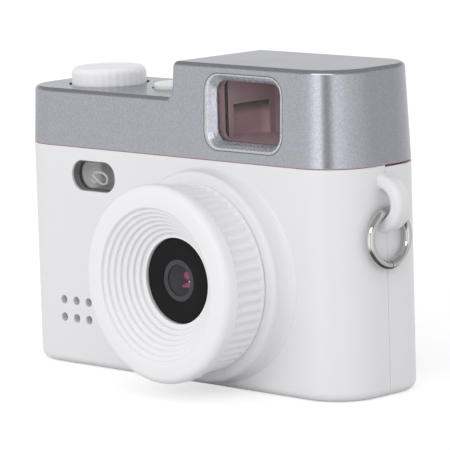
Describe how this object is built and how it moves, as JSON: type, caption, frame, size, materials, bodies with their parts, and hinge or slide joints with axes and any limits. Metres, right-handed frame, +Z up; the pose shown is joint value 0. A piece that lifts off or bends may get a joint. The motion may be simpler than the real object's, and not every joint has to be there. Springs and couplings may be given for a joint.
{
  "type": "compact digital camera",
  "caption": "Small box camera with a stepped silver top cover, a ribbed lens ring, a mode dial, a shutter button and a strap ring on the side.",
  "frame": {"origin": "centre of the body's bottom face", "axes": "+X to the right seen from the front, -Y towards the lens's front, +Z up"},
  "size_m": [0.085, 0.0384, 0.0565],
  "materials": {
    "white_shell": "satin white",
    "silver_paint": "silver paint over plastic, semi-gloss",
    "white_dial": "white, semi-gloss",
    "black_plastic": "satin black",
    "dark_plastic": "matte",
    "mauve_plastic": "matte, unpainted",
    "white_button": "gloss white",
    "clear_plastic": "clear, polished",
    "smoked_plastic": "smoked, polished",
    "screen_plastic": "black, polished",
    "lens_glass": "coated, polished",
    "filter_glass": "coated, polished",
    "board": "solder mask",
    "chip": "matte",
    "flex_film": "satin amber film",
    "steel": "bright",
    "plated_steel": "polished plating",
    "reflector": "metallised",
    "led": "yellow phosphor",
    "silicon": "polished",
    "panel": "gloss",
    "foil": "satin foil",
    "foam": "matte foam",
    "cream_plastic": "matte"
  },
  "bodies": {
    "camera_body": {"front_cover": "white_shell", "rear_cover": "white_shell", "top_cover": "silver_paint", "viewfinder_window": "clear_plastic", "viewfinder_eyepiece": "clear_plastic", "viewfinder_tunnel": "mauve_plastic", "dial_encoder": "dark_plastic", "lens_window": "black_plastic", "lens_glass": "clear_plastic", "lens_holder": "black_plastic", "infrared_filter": "filter_glass", "sensor_housing": "dark_plastic", "sensor_board": "board", "image_sensor": "silicon", "camera_flex": "flex_film", "main_board": "board", "usb_socket": "steel", "card_socket": "steel", "processor": "chip", "memory_chip": "chip", "battery_connector": "cream_plastic", "camera_connector": "cream_plastic", "microphone": "foil", "lcd_module": "panel", "lcd_window": "screen_plastic", "lcd_flex": "flex_film", "lcd_connector": "cream_plastic", "battery": "foil", "battery_tape": "foam", "speaker": "dark_plastic", "speaker_gasket": "foam", "flash_window": "smoked_plastic", "flash_reflector": "reflector", "flash_board": "board", "flash_led": "led", "top_board": "board", "top_flex": "flex_film", "shutter_switch": "dark_plastic", "shutter_spring": "steel", "rear_switches": "dark_plastic", "case_screws": "steel", "board_screws": "steel", "holder_screws": "steel", "top_board_screws": "steel", "top_cover_screws": "steel"},
    "mode_dial": {"mode_dial": "white_dial", "dial_shaft": "black_plastic"},
    "lens_ring": {"lens_ring": "white_shell", "lens_cell": "dark_plastic", "front_lens": "lens_glass", "middle_lens": "lens_glass", "rear_lens": "lens_glass"},
    "shutter_button": {"shutter_button": "white_button", "shutter_plunger": "dark_plastic"},
    "strap_ring": {"strap_ring": "plated_steel"},
    "up_button": {"up_button": "white_button"},
    "down_button": {"down_button": "white_button"},
    "left_button": {"left_button": "white_button"},
    "right_button": {"right_button": "white_button"},
    "ok_button": {"ok_button": "white_button"}
  },
  "joints": [
    {"name": "mode_dial_turn", "type": "hinge", "parent": "camera_body", "child": "mode_dial", "pos_m": [-0.0273, 0.0003, 0.0501], "axis": [0, 0, 1], "continuous": true},
    {"name": "lens_ring_turn", "type": "hinge", "parent": "camera_body", "child": "lens_ring", "pos_m": [0.0094, -0.0155, 0.0199], "axis": [0, -1, 0], "range_deg": [0, 60]},
    {"name": "shutter_press", "type": "slide", "parent": "camera_body", "child": "shutter_button", "axis": [0, 0, -1], "range_m": [0, 0.0007], "stiffness_N_per_m": 1000, "springref_m": -0.0005, "deforming": ["shutter_spring"]},
    {"name": "strap_ring_swing", "type": "hinge", "parent": "camera_body", "child": "strap_ring", "pos_m": [0.041, -0.0008, 0.0323], "axis": [0, -1, 0], "range_deg": [0, 150]},
    {"name": "up_press", "type": "slide", "parent": "camera_body", "child": "up_button", "axis": [0, -1, 0], "range_m": [0, 0.0005], "stiffness_N_per_m": 1000, "springref_m": -0.0005},
    {"name": "down_press", "type": "slide", "parent": "camera_body", "child": "down_button", "axis": [0, -1, 0], "range_m": [0, 0.0005], "stiffness_N_per_m": 1000, "springref_m": -0.0005},
    {"name": "left_press", "type": "slide", "parent": "camera_body", "child": "left_button", "axis": [0, -1, 0], "range_m": [0, 0.0005], "stiffness_N_per_m": 1000, "springref_m": -0.0005},
    {"name": "right_press", "type": "slide", "parent": "camera_body", "child": "right_button", "axis": [0, -1, 0], "range_m": [0, 0.0005], "stiffness_N_per_m": 1000, "springref_m": -0.0005},
    {"name": "ok_press", "type": "slide", "parent": "camera_body", "child": "ok_button", "axis": [0, -1, 0], "range_m": [0, 0.0005], "stiffness_N_per_m": 1000, "springref_m": -0.0005}
  ]
}
